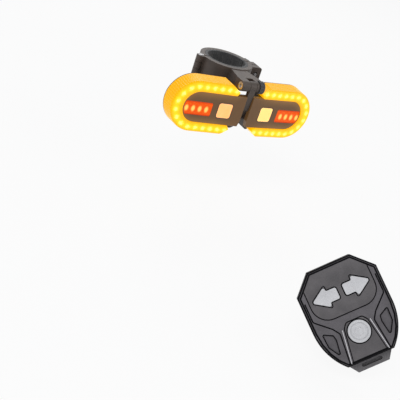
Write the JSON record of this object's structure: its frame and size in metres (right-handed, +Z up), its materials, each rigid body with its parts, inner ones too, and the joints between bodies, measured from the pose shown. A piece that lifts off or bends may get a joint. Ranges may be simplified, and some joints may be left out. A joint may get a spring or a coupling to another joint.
{
  "type": "bicycle turn signal lamp",
  "caption": "Bicycle turn signal lamp with amber C shaped lenses on two pods, a tilting hinged seat post clamp and a wireless remote with arrow keys.",
  "frame": {"origin": "middle of the seat post clamp's bore", "axes": "+Z up the seat post, -Y out of the lenses towards the traffic behind, +X to the right as seen from behind the bicycle"},
  "size_m": [0.1102, 0.2481, 0.0797],
  "materials": {
    "housing_black": "fine matt texture",
    "amber_plastic": "clear amber, polished",
    "seal_rubber": "smooth rubber",
    "panel_gloss": "polished dark brown black",
    "red_plastic": "clear red, polished",
    "clear_plastic": "frosted clear, tinted warm by the lamp",
    "board_green": "solder mask",
    "led_body": "moulded lamp body",
    "screw_steel": "zinc plated",
    "switch_black": "moulded",
    "cell_foil": "pouch foil",
    "ceramic_pale": "sintered ceramic",
    "plated_steel": "nickel plated",
    "cable_flat": "flat ribbon",
    "grip_black": "moulded, fluted",
    "remote_shell_grey": "fine grained",
    "remote_plate_black": "fine matt",
    "key_grey": "smooth pale grey",
    "mat_silicone": "silicone"
  },
  "bodies": {
    "mount": {"mount_arm": "housing_black", "post_liner_front": "seal_rubber", "clamp_nut": "screw_steel", "hoop_pin": "screw_steel", "tilt_bolt": "screw_steel", "remote_top_shell": "remote_shell_grey", "remote_upper_plate": "remote_plate_black", "remote_lower_plate": "remote_plate_black", "key_mat": "mat_silicone", "dome_switches": "plated_steel", "remote_board": "board_green", "coin_cell": "plated_steel", "cell_contact": "plated_steel", "remote_back_shell": "remote_shell_grey", "remote_screws": "screw_steel"},
    "lamp_head": {"rear_housing_left": "housing_black", "rear_housing_right": "housing_black", "amber_lens_left": "amber_plastic", "amber_lens_right": "amber_plastic", "lens_seal_left": "seal_rubber", "lens_seal_right": "seal_rubber", "front_panel_left": "panel_gloss", "front_panel_right": "panel_gloss", "red_window_left": "red_plastic", "red_window_right": "red_plastic", "square_window_left": "clear_plastic", "square_window_right": "clear_plastic", "amber_board_left": "board_green", "amber_board_right": "board_green", "amber_leds_left": "led_body", "amber_leds_right": "led_body", "red_board_left": "board_green", "red_board_right": "board_green", "red_leds_left": "led_body", "red_leds_right": "led_body", "square_leds": "led_body", "lens_screws": "screw_steel", "power_switch": "switch_black", "battery": "cell_foil", "control_board": "board_green", "receiver_antenna": "ceramic_pale", "charging_port": "plated_steel", "centre_spine": "housing_black", "spine_screws": "screw_steel", "link_cable": "cable_flat"},
    "power_button": {"power_button": "seal_rubber"},
    "port_cover": {"port_cover": "seal_rubber"},
    "hoop": {"clamp_hoop": "housing_black", "post_liner_back": "seal_rubber"},
    "thumb_screw": {"clamp_screw": "screw_steel", "screw_grip": "grip_black"},
    "tilt_knob": {"tilt_knob": "grip_black"},
    "arrow_key_left": {"arrow_key_left": "key_grey"},
    "arrow_key_right": {"arrow_key_right": "key_grey"},
    "round_key": {"round_key": "key_grey"},
    "battery_door": {"battery_door": "remote_shell_grey", "door_seal": "seal_rubber"}
  },
  "joints": [
    {"name": "lamp_tilt", "type": "hinge", "parent": "mount", "child": "lamp_head", "pos_m": [0, -0.0375, 0.003], "axis": [1, 0, 0], "range_deg": [-25, 14]},
    {"name": "tilt_knob_turn", "type": "hinge", "parent": "mount", "child": "tilt_knob", "pos_m": [0.0067, -0.0375, 0.003], "axis": [1, 0, 0], "range_deg": [0, 270]},
    {"name": "hoop_swing", "type": "hinge", "parent": "mount", "child": "hoop", "pos_m": [-0.02105, 0, 0], "axis": [0, 0, 1], "range_deg": [0, 95]},
    {"name": "thumb_screw_turn", "type": "hinge", "parent": "hoop", "child": "thumb_screw", "pos_m": [0.02335, 0.009, 0], "axis": [0, 1, 0], "continuous": true},
    {"name": "power_press", "type": "slide", "parent": "lamp_head", "child": "power_button", "axis": [-0.0523, -0.9986, 0], "range_m": [0, 0.0006], "stiffness_N_per_m": 400},
    {"name": "port_cover_swing", "type": "hinge", "parent": "lamp_head", "child": "port_cover", "pos_m": [0.02213, -0.02106, -0.014], "axis": [0, 0, -1], "range_deg": [0, 110]},
    {"name": "arrow_left_press", "type": "slide", "parent": "mount", "child": "arrow_key_left", "axis": [0.6027, 0.6396, -0.4772], "range_m": [0, 0.0007], "stiffness_N_per_m": 400},
    {"name": "arrow_right_press", "type": "slide", "parent": "mount", "child": "arrow_key_right", "axis": [0.6027, 0.6396, -0.4772], "range_m": [0, 0.0007], "stiffness_N_per_m": 400},
    {"name": "round_key_press", "type": "slide", "parent": "mount", "child": "round_key", "axis": [0.6027, 0.6396, -0.4772], "range_m": [0, 0.0007], "stiffness_N_per_m": 400},
    {"name": "battery_door_turn", "type": "hinge", "parent": "mount", "child": "battery_door", "pos_m": [-0.01506, -0.20194, -0.05007], "axis": [-0.6027, -0.6396, 0.4772], "range_deg": [0, 60]}
  ]
}
